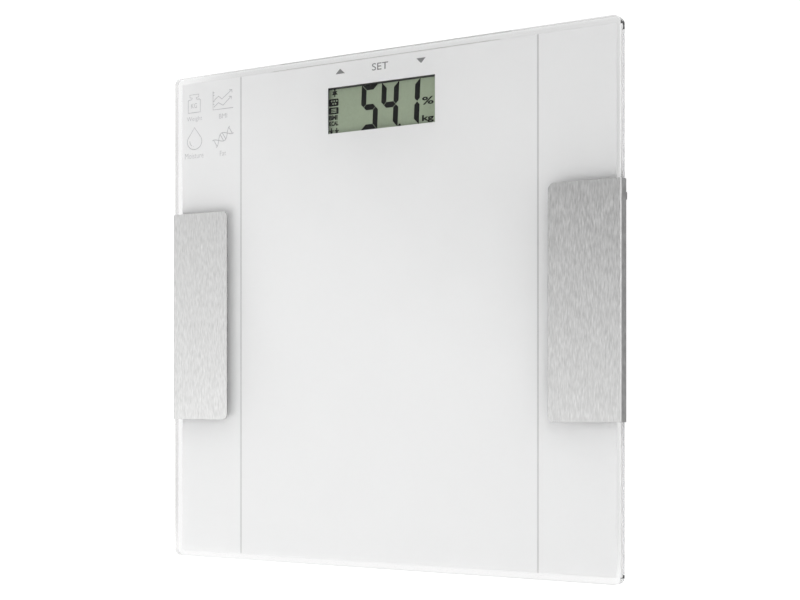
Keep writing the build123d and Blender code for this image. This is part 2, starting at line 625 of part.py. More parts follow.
# ---- all nodes -----------------------------------------------------------------------
def build():
    """Every node of the scale by name."""
    nodes = {
        "glass_platform": glass_platform(),
        "printed_film": printed_film(),
        "control_housing": control_housing(),
        "housing_tape": housing_tape(),
        "control_cover": control_cover(),
        "cover_screws": cover_screws(),
        "board_screws": board_screws(),
        "display_hood": display_hood(),
        "lcd_panel": lcd_panel(),
        "lcd_reflector": lcd_reflector(),
        "contact_strips": contact_strips(),
        "main_board": main_board(),
        "board_parts": board_parts(),
        "lead_connectors": lead_connectors(),
        "touch_pads": touch_pads(),
        "coin_cell": coin_cell(),
        "battery_contact_negative": battery_contact_negative(),
        "battery_contact_positive": battery_contact_positive(),
        "battery_door": battery_door(),
        "cell_pad": cell_pad(),
        "unit_button": unit_button(),
        "switch_plunger": switch_plunger(),
        "switch_body": switch_body(),
        "foot_tapes": foot_tapes(),
        "lead_clips": lead_clips(),
    }
    for name, side in SIDES.items():
        nodes[f"electrode_{name}"] = on_side(electrode(), side)
        nodes[f"terminal_cap_{name}"] = on_side(terminal_cap(), side)
        nodes[f"electrode_lead_{name}"] = on_side(lead(ELECTRODE_LEAD, ELECTRODE_LEAD_RADIUS), side)
        nodes[f"wire_channel_{name}"] = on_side(wire_channel(), side)
    for name, (side_x, side_y) in CORNERS.items():
        corner = (side_x, side_y)
        route = REAR_LEAD if side_y > 0 else FRONT_LEAD
        housing = at_corner(foot_housing(), corner)
        nodes[f"foot_housing_{name}"] = housing - on_side(lead_notch(route), side_x)
        nodes[f"load_cell_{name}"] = at_corner(load_cell(), corner)
        nodes[f"strain_gauge_{name}"] = at_corner(strain_gauge(), corner)
        nodes[f"foot_cup_{name}"] = at_corner(foot_cup(), corner)
        nodes[f"foot_pad_{name}"] = at_corner(foot_pad(), corner)
        nodes[f"cell_lead_{name}"] = on_side(lead(route, CELL_LEAD_RADIUS), side_x)
    return nodes


def main():
    """Writes one STEP file for each node."""
    os.makedirs("parts", exist_ok=True)
    for name, shape in build().items():
        export_step(shape, f"parts/{name}.step")
        print(f"{name}: {len(shape.solids())} solids, {shape.volume:.1f} mm3")


if __name__ == "__main__":
    main()
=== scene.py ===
import logging
import math
from dataclasses import dataclass
from enum import Enum

import bmesh
import bpy
from mathutils import Matrix, Vector


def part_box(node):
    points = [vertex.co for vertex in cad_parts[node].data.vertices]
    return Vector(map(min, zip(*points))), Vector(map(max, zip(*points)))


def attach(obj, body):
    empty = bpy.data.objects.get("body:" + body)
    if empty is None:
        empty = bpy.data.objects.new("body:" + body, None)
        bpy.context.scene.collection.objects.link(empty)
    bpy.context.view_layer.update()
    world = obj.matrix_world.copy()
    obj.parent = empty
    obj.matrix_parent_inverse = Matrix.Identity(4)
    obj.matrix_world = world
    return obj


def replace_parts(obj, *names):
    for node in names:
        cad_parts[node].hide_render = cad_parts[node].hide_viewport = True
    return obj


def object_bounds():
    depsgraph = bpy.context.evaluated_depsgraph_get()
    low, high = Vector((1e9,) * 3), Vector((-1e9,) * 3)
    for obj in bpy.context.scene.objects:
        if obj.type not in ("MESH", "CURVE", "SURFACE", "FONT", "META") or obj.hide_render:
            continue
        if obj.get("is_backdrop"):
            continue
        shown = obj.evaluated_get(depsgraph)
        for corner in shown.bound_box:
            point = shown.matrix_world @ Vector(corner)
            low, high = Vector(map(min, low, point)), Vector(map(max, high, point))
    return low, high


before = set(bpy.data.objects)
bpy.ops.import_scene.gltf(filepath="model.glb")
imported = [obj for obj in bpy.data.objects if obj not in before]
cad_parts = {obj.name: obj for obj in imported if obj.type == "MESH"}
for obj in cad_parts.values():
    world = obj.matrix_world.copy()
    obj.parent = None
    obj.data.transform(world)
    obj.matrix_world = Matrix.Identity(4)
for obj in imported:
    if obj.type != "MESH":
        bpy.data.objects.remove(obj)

MM = 0.001
DARK_SHARE = 0.3
LIGHT_SHARE = 0.7
WHITEST = 0.96
Colour = tuple[float, float, float]
Box = tuple[float, float, float, float]
Point = tuple[float, float]
Cut = tuple[Vector, Vector]

log = logging.getLogger("bathroom_scale")


# ---- finishes ------------------------------------------------------------------------
class Pattern(Enum):
    """The texture that breaks up a finish."""

    GRAIN = "grain"
    CELLS = "cells"


class Graph:
    """Shader graph of one material, with the few kinds of node that the finishes share."""

    def __init__(self, name: str) -> None:
        """Starts an empty graph.

        Args:
            name: The material's name.
        """
        self.material = bpy.data.materials.new(name)
        self.material.use_nodes = True
        self.nodes = self.material.node_tree.nodes
        self.shader = self.nodes["Principled BSDF"]
        self.place = self.nodes.new("ShaderNodeTexCoord").outputs["Object"]

    def link(self, source: bpy.types.NodeSocket, target: bpy.types.NodeSocket) -> None:
        """Joins one node's output to another's input."""
        self.material.node_tree.links.new(source, target)

    def grain(self, size: Colour, detail: float = 2.0) -> bpy.types.NodeSocket:
        """Noise whose lumps have a given size.

        Args:
            size: Length of a lump along X, Y and Z, in metres.
            detail: How many finer layers the noise has.

        Returns:
            The noise's value, around 0.5.
        """
        mapping = self.nodes.new("ShaderNodeMapping")
        mapping.inputs["Scale"].default_value = [1.0 / length for length in size]
        self.link(self.place, mapping.inputs["Vector"])
        noise = self.nodes.new("ShaderNodeTexNoise")
        noise.inputs["Scale"].default_value = 1.0
        noise.inputs["Detail"].default_value = detail
        self.link(mapping.outputs["Vector"], noise.inputs["Vector"])
        return noise.outputs["Fac"]

    def cells(self, size: float) -> bpy.types.NodeSocket:
        """Rounded cells of a given size in metres, as in foam or cast resin."""
        cells = self.nodes.new("ShaderNodeTexVoronoi")
        cells.inputs["Scale"].default_value = 1.0 / size
        self.link(self.place, cells.inputs["Vector"])
        return cells.outputs["Distance"]

    def spread(self, factor: bpy.types.NodeSocket, low: float, high: float) -> bpy.types.NodeSocket:
        """Maps a pattern's middle range to two limits.

        Args:
            factor: The pattern's value.
            low: Result for the pattern's dark lumps.
            high: Result for its light lumps.

        Returns:
            The mapped value.
        """
        span = self.nodes.new("ShaderNodeMapRange")
        span.inputs["From Min"].default_value = DARK_SHARE
        span.inputs["From Max"].default_value = LIGHT_SHARE
        span.inputs["To Min"].default_value = low
        span.inputs["To Max"].default_value = high
        self.link(factor, span.inputs["Value"])
        return span.outputs["Result"]

    def between(self, factor: bpy.types.NodeSocket, dark: Colour, light: Colour) -> bpy.types.NodeSocket:
        """Colour that a pattern picks between two.

        Args:
            factor: The pattern's value.
            dark: Colour of its dark lumps.
            light: Colour of its light lumps.

        Returns:
            The picked colour.
        """
        ramp = self.nodes.new("ShaderNodeValToRGB")
        ramp.color_ramp.elements[0].position = DARK_SHARE
        ramp.color_ramp.elements[0].color = (*dark, 1.0)
        ramp.color_ramp.elements[1].position = LIGHT_SHARE
        ramp.color_ramp.elements[1].color = (*light, 1.0)
        self.link(factor, ramp.inputs["Fac"])
        return ramp.outputs["Color"]

    def relief(self, height: bpy.types.NodeSocket, depth: float) -> None:
        """Raises the surface by a pattern.

        Args:
            height: The pattern's value.
            depth: Height of the relief, in metres.
        """
        bump = self.nodes.new("ShaderNodeBump")
        bump.inputs["Strength"].default_value = 1.0
        bump.inputs["Distance"].default_value = depth
        self.link(height, bump.inputs["Height"])
        self.link(bump.outputs["Normal"], self.shader.inputs["Normal"])

    def constant(self, socket: str, value: float) -> None:
        """Sets a number on the shader's own socket."""
        self.shader.inputs[socket].default_value = value


@dataclass(frozen=True)
class Finish:
    """A surface with a broken-up colour and gloss and a fine relief. Sizes are in metres."""

    name: str
    colour: Colour
    drift: float = 0.05
    patch: Colour = (0.006, 0.006, 0.006)
    roughness: float = 0.5
    roughness_drift: float = 0.06
    grain: Colour = (0.0005, 0.0005, 0.0005)
    depth: float = 0.00001
    metallic: float = 0.0
    specular: float = 0.5
    pattern: Pattern = Pattern.GRAIN

    def shade(self, factor: float) -> Colour:
        """The finish's colour, lighter or darker by a factor, within what paint can be."""
        red, green, blue = (min(WHITEST, channel * factor) for channel in self.colour)
        return (red, green, blue)

    def draw(self, graph: Graph) -> None:
        """Adds the colour, gloss and relief.

        Args:
            graph: The material's graph.
        """
        patches = graph.grain(self.patch)
        tint = graph.between(patches, self.shade(1 - self.drift), self.shade(1 + self.drift))
        graph.link(tint, graph.shader.inputs["Base Color"])
        fine = graph.cells(self.grain[0]) if self.pattern is Pattern.CELLS else graph.grain(self.grain)
        low = max(0.0, self.roughness - self.roughness_drift)
        gloss = graph.spread(fine, low, self.roughness + self.roughness_drift)
        graph.link(gloss, graph.shader.inputs["Roughness"])
        graph.relief(fine, self.depth)
        graph.constant("Metallic", self.metallic)
        graph.constant("Specular IOR Level", self.specular)

    def material(self) -> bpy.types.Material:
        """The finish's material, made on its first use."""
        made = bpy.data.materials.get(self.name)
        if made is None:
            graph = Graph(self.name)
            self.draw(graph)
            made = graph.material
        return made

    def put_on(self, *pieces: bpy.types.Object) -> None:
        """Gives pieces this finish.

        Args:
            pieces: The objects to dress.
        """
        for piece in pieces:
            if not piece.material_slots:
                piece.data.materials.append(None)
            for slot in piece.material_slots:
                slot.material = self.material()


@dataclass(frozen=True)
class ClearGlass(Finish):
    """Tempered glass with the slight waviness that its rollers leave."""

    index: float = 1.52

    def draw(self, graph: Graph) -> None:
        """Adds transmission to the usual colour, gloss and relief.

        Args:
            graph: The material's graph.
        """
        super().draw(graph)
        graph.constant("Transmission Weight", 1.0)
        graph.constant("IOR", self.index)


@dataclass(frozen=True)
class BrushedSteel(Finish):
    """Steel sheet with fine brush strokes over broader, softer mottling."""

    stroke: Colour = (0.00012, 0.004, 0.004)
    stroke_drift: float = 0.05

    def draw(self, graph: Graph) -> None:
        """Mixes the strokes into the mottled colour, and takes gloss and relief from the strokes.

        Args:
            graph: The material's graph.
        """
        mottling = graph.grain(self.patch, 3.0)
        strokes = graph.grain(self.stroke, 4.0)
        broad = graph.between(mottling, self.shade(1 - self.drift), self.shade(1 + self.drift))
        pale = 1.0 - self.stroke_drift
        fine = graph.between(strokes, (pale, pale, pale), (1.0, 1.0, 1.0))
        mix = graph.nodes.new("ShaderNodeMix")
        mix.data_type = "RGBA"
        mix.blend_type = "MULTIPLY"
        mix.inputs[0].default_value = 1.0
        graph.link(broad, mix.inputs[6])
        graph.link(fine, mix.inputs[7])
        graph.link(mix.outputs[2], graph.shader.inputs["Base Color"])
        low = self.roughness - self.roughness_drift
        gloss = graph.spread(strokes, low, self.roughness + self.roughness_drift)
        graph.link(gloss, graph.shader.inputs["Roughness"])
        graph.relief(strokes, self.depth)
        graph.constant("Metallic", self.metallic)


GLASS = ClearGlass(
    "clear_tempered_glass", (0.985, 0.992, 0.988), 0.004, (0.03, 0.03, 0.03), 0.0, 0.01,
    (0.02, 0.02, 0.02), 0.000001,
)
GROUND_EDGE = Finish(
    "ground_glass_arris", (0.80, 0.81, 0.805), 0.02, (0.004, 0.004, 0.004), 0.6, 0.1,
    (0.0003, 0.0003, 0.0003), 0.000004,
)
WHITE_PRINT = Finish(
    "white_enamel_print", (0.945, 0.947, 0.947), 0.006, (0.03, 0.03, 0.03), 0.5, 0.06,
    (0.0006, 0.0006, 0.0006), 0.000002,
)
LINE_INK = Finish("grey_line_ink", (0.66, 0.66, 0.66), 0.02, (0.003, 0.003, 0.003), 0.5)
ICON_INK = Finish("pale_icon_ink", (0.56, 0.56, 0.57), 0.03, (0.002, 0.002, 0.002), 0.5)
KEY_INK = Finish("grey_key_ink", (0.24, 0.24, 0.24), 0.04, (0.002, 0.002, 0.002), 0.5)
STEEL = BrushedSteel(
    "brushed_electrode_steel", (0.57, 0.57, 0.567), 0.09, (0.0009, 0.0045, 0.0045), 0.36, 0.06,
    depth=0.000003, metallic=1.0, stroke=(0.00045, 0.004, 0.004), stroke_drift=0.22,
)
SCREW_ZINC = Finish(
    "zinc_plated_screw", (0.62, 0.64, 0.68), 0.12, (0.0015, 0.0015, 0.0015), 0.32, 0.08,
    metallic=1.0,
)
SENSOR_STEEL = BrushedSteel(
    "stamped_sensor_steel", (0.56, 0.57, 0.58), 0.06, (0.003, 0.002, 0.002), 0.34, 0.08,
    depth=0.000002, metallic=1.0, stroke=(0.004, 0.0002, 0.0002),
)
SPRING_NICKEL = Finish(
    "nickel_contact_spring", (0.70, 0.67, 0.60), 0.08, (0.002, 0.002, 0.002), 0.28,
    metallic=1.0,
)
CELL_STEEL = Finish(
    "coin_cell_can", (0.68, 0.69, 0.70), 0.05, (0.002, 0.002, 0.002), 0.25, metallic=1.0,
)
WHITE_SHELL = Finish(
    "white_moulded_shell", (0.80, 0.80, 0.79), 0.02, (0.02, 0.02, 0.02), 0.46, 0.06,
    (0.00035, 0.00035, 0.00035), 0.000018,
)
GREY_SHELL = Finish(
    "grey_moulded_cup", (0.34, 0.35, 0.36), 0.04, (0.015, 0.015, 0.015), 0.5, 0.07,
    (0.0004, 0.0004, 0.0004), 0.00002,
)
TERMINAL_GREY = Finish(
    "grey_terminal_cap", (0.20, 0.20, 0.205), 0.06, (0.004, 0.004, 0.004), 0.55,
)
HOOD_BLACK = Finish(
    "black_display_hood", (0.022, 0.023, 0.023), 0.12, (0.004, 0.004, 0.004), 0.6,
)
LCD_FACE = Finish(
    "display_polariser", (0.40, 0.475, 0.342), 0.035, (0.0018, 0.0018, 0.0018), 0.38, 0.05,
    (0.00025, 0.00025, 0.00025), 0.000002, specular=0.2,
)
LCD_INK = Finish(
    "display_dark_segment", (0.004, 0.0045, 0.0045), 0.15, (0.001, 0.001, 0.001), 0.6,
    specular=0.1,
)
FOIL = Finish(
    "reflector_foil", (0.78, 0.79, 0.78), 0.05, (0.003, 0.003, 0.003), 0.22, metallic=1.0,
)
CONTACT_RUBBER = Finish(
    "contact_strip_rubber", (0.09, 0.10, 0.13), 0.3, (0.0002, 0.004, 0.004), 0.65,
)
BOARD_GREEN = Finish(
    "board_solder_mask", (0.02, 0.14, 0.055), 0.3, (0.002, 0.0006, 0.002), 0.35,
)
CHIP_RESIN = Finish(
    "black_chip_resin", (0.018, 0.018, 0.02), 0.2, (0.002, 0.002, 0.002), 0.3,
)
NYLON = Finish("natural_nylon", (0.74, 0.72, 0.66), 0.03, (0.003, 0.003, 0.003), 0.45)
FOAM = Finish(
    "white_foam_tape", (0.66, 0.66, 0.64), 0.06, (0.002, 0.002, 0.002), 0.9, 0.05,
    (0.0004, 0.0004, 0.0004), 0.00008, pattern=Pattern.CELLS,
)
GAUGE_RESIN = Finish(
    "white_gauge_resin", (0.70, 0.70, 0.66), 0.05, (0.002, 0.002, 0.002), 0.35,
    grain=(0.001, 0.001, 0.001), depth=0.00003,
)
SOLE_RUBBER = Finish(
    "grey_sole_rubber", (0.115, 0.118, 0.12), 0.12, (0.003, 0.003, 0.003), 0.72, 0.08,
    (0.0003, 0.0003, 0.0003), 0.00002,
)
LEAD_GREY = Finish("grey_lead_jacket", (0.30, 0.30, 0.31), 0.08, (0.004, 0.004, 0.004), 0.5)


# ---- pieces --------------------------------------------------------------------------
def node(name: str) -> bpy.types.Object:
    """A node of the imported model."""
    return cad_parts[name]


def middle(name: str) -> Vector:
    """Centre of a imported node's box, in metres."""
    low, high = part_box(name)
    return (low + high) / 2


def add_piece(mesh: bpy.types.Mesh, name: str, finish: Finish) -> bpy.types.Object:
    """Puts a finished mesh on the platform.

    Args:
        mesh: The mesh, already in place.
        name: The piece's name.
        finish: What it is dressed in.

    Returns:
        The new object.
    """
    mesh.name = name
    piece = bpy.data.objects.new(name, mesh)
    bpy.context.scene.collection.objects.link(piece)
    finish.put_on(piece)
    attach(piece, "platform")
    log.info("%s: %d faces", name, len(mesh.polygons))
    return piece


def fit(mesh: bpy.types.Mesh, box: Box, low: float, high: float) -> bpy.types.Mesh:
    """Stretches a mesh to fill a box.

    Args:
        mesh: The mesh, anywhere.
        box: Left, front, right and rear limits, in metres.
        low: Height of its underside, in metres.
        high: Height of its top, in metres.

    Returns:
        The same mesh.
    """
    axes = [[vertex.co[axis] for vertex in mesh.vertices] for axis in range(3)]
    start = Vector([min(values) for values in axes])
    size = Vector([max(values) for values in axes]) - start
    goal = Vector((box[2] - box[0], box[3] - box[1], high - low))
    scale = Matrix.Diagonal([goal[i] / size[i] for i in range(3)]).to_4x4()
    mesh.transform(Matrix.Translation((box[0], box[1], low)) @ scale @ Matrix.Translation(-start))
    return mesh


def mesh_of(curve: bpy.types.Curve) -> bpy.types.Mesh:
    """The mesh of a curve or text, which is then removed.

    Args:
        curve: The curve or text data.

    Returns:
        Its mesh.
    """
    carrier = bpy.data.objects.new("carrier", curve)
    bpy.context.scene.collection.objects.link(carrier)
    bpy.context.view_layer.update()
    mesh = bpy.data.meshes.new_from_object(carrier)
    bpy.data.objects.remove(carrier)
    bpy.data.curves.remove(curve)
    return mesh


def lettering(words: str, weight: float = 0.0) -> bpy.types.Mesh:
    """Solid letters, to be fitted to a box.

    Args:
        words: The letters.
        weight: How much bolder each letter is, as a share of its height.

    Returns:
        Their mesh.
    """
    text = bpy.data.curves.new("lettering", "FONT")
    text.body = words
    text.extrude = 0.05
    text.offset = weight
    text.resolution_u = 4
    return mesh_of(text)


@dataclass(frozen=True)
class Stroke:
    """A drawn line, straight between its points or smooth past them."""

    points: tuple[Point, ...]
    smooth: bool = False
    closed: bool = False


def line_art(strokes: list[Stroke], scale: Point, width: float) -> bpy.types.Mesh:
    """Flat-backed raised lines.

    Args:
        strokes: The lines, in a picture one wide and one high.
        scale: Real width and height of the picture, in metres.
        width: Width of a line, in metres.

    Returns:
        Their mesh, one for all.
    """
    curve = bpy.data.curves.new("line_art", "CURVE")
    curve.dimensions = "3D"
    curve.bevel_depth = width / 2
    curve.bevel_resolution = 2
    curve.use_fill_caps = True
    for stroke in strokes:
        spline = curve.splines.new("NURBS" if stroke.smooth else "POLY")
        spline.points.add(len(stroke.points) - 1)
        for point, (x, y) in zip(spline.points, stroke.points):
            point.co = (x * scale[0], y * scale[1], 0.0, 1.0)
        spline.use_cyclic_u = stroke.closed
        spline.use_endpoint_u = not stroke.closed
        spline.order_u = 3
        spline.resolution_u = 8
    return mesh_of(curve)


def plate(
    box: Box, cuts: list[Cut] | None = None, corner: float = 0.0, segments: int = 4
) -> bmesh.types.BMesh:
    """Flat plate one unit thick, cut by upright planes.

    Args:
        box: Left, front, right and rear limits.
        cuts: A point and a normal for each plane, whose positive side is cut away.
        corner: Radius of its upright edges.
        segments: Number of flats in each corner.

    Returns:
        The plate.
    """
    shape = bmesh.new()
    bmesh.ops.create_grid(shape, x_segments=1, y_segments=1, size=0.5)
    centre = Vector(((box[0] + box[2]) / 2, (box[1] + box[3]) / 2, 0.0))
    stretch = Vector((box[2] - box[0], box[3] - box[1], 1.0))
    bmesh.ops.scale(shape, vec=stretch, verts=shape.verts)
    bmesh.ops.translate(shape, vec=centre, verts=shape.verts)
    for point, normal in cuts or []:
        everything = shape.verts[:] + shape.edges[:] + shape.faces[:]
        bmesh.ops.bisect_plane(
            shape, geom=everything, dist=0.0, plane_co=point, plane_no=normal, clear_outer=True
        )
    raised = bmesh.ops.extrude_face_region(shape, geom=shape.faces[:])
    top = [part for part in raised["geom"] if isinstance(part, bmesh.types.BMVert)]
    bmesh.ops.translate(shape, vec=(0.0, 0.0, 1.0), verts=top)
    bmesh.ops.recalc_face_normals(shape, faces=shape.faces)
    if corner:
        upright = [edge for edge in shape.edges if abs(edge.verts[0].co.z - edge.verts[1].co.z) > 0.5]
        bmesh.ops.bevel(
            shape, geom=upright, offset=corner, affect="EDGES", segments=segments, profile=0.5,
            material=-1,
        )
    return shape


def wedge(box: Box, up: bool) -> bmesh.types.BMesh:
    """Triangular plate one unit thick.

    Args:
        box: Left, front, right and rear limits.
        up: True where its tip is at the rear, and False where it is at the front.

    Returns:
        The plate.
    """
    left, front, right, rear = box
    way = 1 if up else -1
    tip = Vector(((left + right) / 2, rear if up else front, 0.0))
    run = (right - left) / 2
    cuts = [(tip, Vector((side * (rear - front), way * run, 0.0))) for side in (-1, 1)]
    return plate(box, cuts)


def merged(shapes: list[bmesh.types.BMesh]) -> bmesh.types.BMesh:
    """One shape of several, which are freed.

    Args:
        shapes: The shapes.

    Returns:
        The shape that holds them all.
    """
    whole = bmesh.new()
    for shape in shapes:
        part = bpy.data.meshes.new("part")
        shape.to_mesh(part)
        shape.free()
        whole.from_mesh(part)
        bpy.data.meshes.remove(part)
    return whole


def to_mesh(shape: bmesh.types.BMesh, name: str) -> bpy.types.Mesh:
    """Turns a shape into a mesh and frees it."""
    mesh = bpy.data.meshes.new(name)
    shape.to_mesh(mesh)
    shape.free()
    return mesh


def set_heights(mesh: bpy.types.Mesh, low: float, high: float) -> bpy.types.Mesh:
    """Gives a plate of unit thickness its real heights.

    Args:
        mesh: The plate's mesh, from zero to one high.
        low: Height of its underside, in metres.
        high: Height of its top, in metres.

    Returns:
        The same mesh.
    """
    scale = Matrix.Diagonal((1.0, 1.0, high - low)).to_4x4()
    mesh.transform(Matrix.Translation((0.0, 0.0, low)) @ scale)
    return mesh


def millimetres(left: float, front: float, right: float, rear: float) -> Box:
    """A box given in millimetres from the middle of the platform."""
    centre = middle("glass_platform")
    return (
        centre.x + left * MM, centre.y + front * MM, centre.x + right * MM, centre.y + rear * MM,
    )


# ---- platform and its print ----------------------------------------------------------
@dataclass
class Platform:
    """The glass and its print, with every line and picture on the print. Sizes in millimetres."""

    line_x: float = 100.6
    line_width: float = 1.0
    stroke: float = 0.5
    up_key: Box = (-31.0, 139.9, -24.5, 142.9)
    down_key: Box = (24.2, 139.6, 30.3, 142.6)
    set_key: Box = (-5.7, 139.1, 5.3, 143.3)
    weight_icon: Box = (-142.1, 128.0, -132.1, 139.7)
    weight_mark: Box = (-139.6, 131.0, -134.9, 134.0)
    chart_icon: Box = (-122.5, 128.1, -106.6, 139.9)
    drop_icon: Box = (-142.9, 104.8, -130.9, 119.0)
    helix_icon: Box = (-122.8, 104.5, -106.2, 117.4)
    captions: tuple[tuple[str, Box], ...] = (
        ("Weight", (-143.0, 122.2, -130.9, 125.8)),
        ("BMI", (-117.5, 122.5, -111.3, 125.4)),
        ("Moisture", (-144.5, 99.5, -129.8, 102.9)),
        ("Fat", (-116.9, 99.3, -112.1, 102.4)),
    )
    set_weight: float = 0.004
    caption_weight: float = -0.008
    window: Box = (-36.35, 105.15, 36.35, 132.25)
    print_corner: float = 1.5
    bite: float = 0.02
    ink: float = 0.01
    corner: float = 4.0
    corner_flats: int = 12
    upper_arris: float = 0.25
    lower_arris: float = 0.06
    rim_tolerance: float = 0.1

    def __post_init__(self) -> None:
        """Finds how far the fired enamel bites into the glass, which the drawing lies on."""
        self.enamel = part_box("glass_platform")[0].z + self.bite * MM
        self.low = self.enamel + self.ink * MM
        self.high = self.low + self.ink * MM

    def build(self) -> None:
        """Makes the glass, the print on it and everything drawn on the print."""
        self.make_glass()
        self.make_print()
        self.draw_lines()
        self.draw_keys()
        self.draw_weight()
        self.draw_chart()
        self.draw_drop()
        self.draw_helix()
        for word, box in self.captions:
            self.write(word, box, ICON_INK, f"caption_{word.lower()}", self.caption_weight)

    def make_glass(self) -> None:
        """Tempered sheet whose arrises are ground and whose faces are polished."""
        low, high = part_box("glass_platform")
        outline = (low.x, low.y, high.x, high.y)
        shape = plate(outline, corner=self.corner * MM, segments=self.corner_flats)
        bmesh.ops.scale(shape, vec=(1.0, 1.0, high.z - low.z), verts=shape.verts)
        bmesh.ops.translate(shape, vec=(0.0, 0.0, low.z), verts=shape.verts)
        for height, arris in ((high.z, self.upper_arris), (low.z, self.lower_arris)):
            near = self.rim_tolerance * MM
            rim = [
                edge for edge in shape.edges if all(abs(vert.co.z - height) < near for vert in edge.verts)
            ]
            ground = bmesh.ops.bevel(
                shape, geom=rim, offset=arris * MM, affect="EDGES", segments=2, profile=0.5,
                material=-1,
            )
            for face in ground["faces"]:
                face.material_index = 1
        sheet = add_piece(to_mesh(shape, "sheet"), "glass_sheet", GLASS)
        sheet.data.materials.append(GROUND_EDGE.material())
        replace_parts(sheet, "glass_platform")

    def make_print(self) -> None:
        """Fired enamel with a window, in optical contact with the glass."""
        low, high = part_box("printed_film")
        shape = plate((low.x, low.y, high.x, high.y), corner=self.print_corner * MM)
        left, front, right, rear = millimetres(*self.window)
        for edge in (left, right):
            self.score(shape, Vector((edge, 0.0, 0.0)), Vector((1.0, 0.0, 0.0)))
        for edge in (front, rear):
            self.score(shape, Vector((0.0, edge, 0.0)), Vector((0.0, 1.0, 0.0)))
        inside = []
        for face in shape.faces:
            at = face.calc_center_median()
            if left < at.x < right and front < at.y < rear:
                inside.append(face)
        rims = {edge for face in inside for edge in face.edges}
        bmesh.ops.delete(shape, geom=inside, context="FACES")
        open_rims = [edge for edge in rims if edge.is_valid and len(edge.link_faces) == 1]
        bmesh.ops.bridge_loops(shape, edges=open_rims)
        bmesh.ops.recalc_face_normals(shape, faces=shape.faces)
        mesh = set_heights(to_mesh(shape, "print"), low.z, self.enamel)
        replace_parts(add_piece(mesh, "enamel_print", WHITE_PRINT), "printed_film")

    @staticmethod
    def score(shape: bmesh.types.BMesh, point: Vector, normal: Vector) -> None:
        """Divides a shape's faces along a plane, and removes nothing.

        Args:
            shape: The shape.
            point: A point of the plane.
            normal: The plane's normal.
        """
        everything = shape.verts[:] + shape.edges[:] + shape.faces[:]
        bmesh.ops.bisect_plane(shape, geom=everything, dist=0.0, plane_co=point, plane_no=normal)

    def draw_lines(self) -> None:
        """Two lines that divide the side fields from the middle one."""
        low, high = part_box("printed_film")
        half = self.line_width / 2
        for side, sign in (("left", -1), ("right", 1)):
            box = millimetres(sign * self.line_x - half, 0.0, sign * self.line_x + half, 1.0)
            shape = plate((box[0], low.y, box[2], high.y))
            mesh = set_heights(to_mesh(shape, "line"), self.low, self.high)
            add_piece(mesh, f"field_line_{side}", LINE_INK)

    def draw_keys(self) -> None:
        """The two arrow heads and the word over the touch keys."""
        for name, box, up in (("up", self.up_key, True), ("down", self.down_key, False)):
            mesh = set_heights(to_mesh(wedge(millimetres(*box), up), "arrow"), self.low, self.high)
            add_piece(mesh, f"key_mark_{name}", KEY_INK)
        self.write("SET", self.set_key, KEY_INK, "key_mark_set", self.set_weight)

    def write(self, words: str, box: Box, ink: Finish, name: str, weight: float = 0.0) -> None:
        """Prints letters.

        Args:
            words: The letters.
            box: The space that they fill, in millimetres.
            ink: Their finish.
            name: The piece's name.
            weight: How much bolder they are than usual.
        """
        mesh = fit(lettering(words, weight), millimetres(*box), self.low, self.high)
        add_piece(mesh, name, ink)

    def picture(self, name: str, box: Box, strokes: list[Stroke]) -> None:
        """Prints a line drawing.

        Args:
            name: The piece's name.
            box: The space that it fills, in millimetres.
            strokes: Its lines, in a picture one wide and one high.
        """
        real = millimetres(*box)
        scale = (real[2] - real[0], real[3] - real[1])
        mesh = line_art(strokes, scale, self.stroke * MM)
        add_piece(fit(mesh, real, self.low, self.high), name, ICON_INK)

    def draw_weight(self) -> None:
        """A calibration weight with its unit on it."""
        body = [(0.5, 0.0), (1.0, 0.0), (1.0, 0.68), (0.94, 0.72)]
        neck = [(0.7, 0.73), (0.66, 0.82), (0.86, 0.85), (0.88, 1.0)]
        half = body + neck
        other = [(1.0 - x, y) for x, y in reversed(half[1:])]
        self.picture("icon_weight", self.weight_icon, [Stroke(tuple(half + other), closed=True)])
        self.write("KG", self.weight_mark, ICON_INK, "icon_weight_unit")

    def draw_chart(self) -> None:
        """Two rising graph lines between axes."""
        strokes = [Stroke(((0.0, 1.0), (0.0, 0.0), (1.0, 0.0)))]
        strokes += [Stroke(((0.0, y), (0.07, y))) for y in (0.3, 0.45, 0.78, 0.92)]
        for line in (
            ((0.04, 0.14), (0.27, 0.36), (0.5, 0.19), (0.91, 0.62)),
            ((0.04, 0.49), (0.27, 0.71), (0.44, 0.53), (0.94, 0.97)),
        ):
            x, y = line[-1]
            strokes.append(Stroke(line))
            strokes.append(Stroke(((x - 0.13, y), (x, y), (x, y - 0.15))))
        self.picture("icon_chart", self.chart_icon, strokes)

    def draw_drop(self) -> None:
        """A drop with a highlight inside it."""
        angles = [math.radians(angle) for angle in range(-90, 31, 10)]
        half = [(0.5 + 0.5 * math.cos(angle), 0.36 + 0.36 * math.sin(angle)) for angle in angles]
        outline = half + [(0.5, 1.0)] + [(1.0 - x, y) for x, y in reversed(half[1:])]
        shine = Stroke(((0.17, 0.4), (0.18, 0.24), (0.32, 0.17)), smooth=True)
        dot = Stroke(((0.41, 0.14), (0.44, 0.13)))
        self.picture("icon_drop", self.drop_icon, [Stroke(tuple(outline), closed=True), shine, dot])

    def draw_helix(self) -> None:
        """A double helix that climbs to the right, with its rungs."""
        strokes = []
        steps = 28
        for phase in (0.0, math.pi):
            line = [self.on_helix(step / steps, phase) for step in range(steps + 1)]
            strokes.append(Stroke(tuple(line), smooth=True))
        for place in (0.06, 0.44, 0.56, 0.94):
            strokes.append(Stroke((self.on_helix(place, 0.0), self.on_helix(place, math.pi))))
        self.picture("icon_helix", self.helix_icon, strokes)

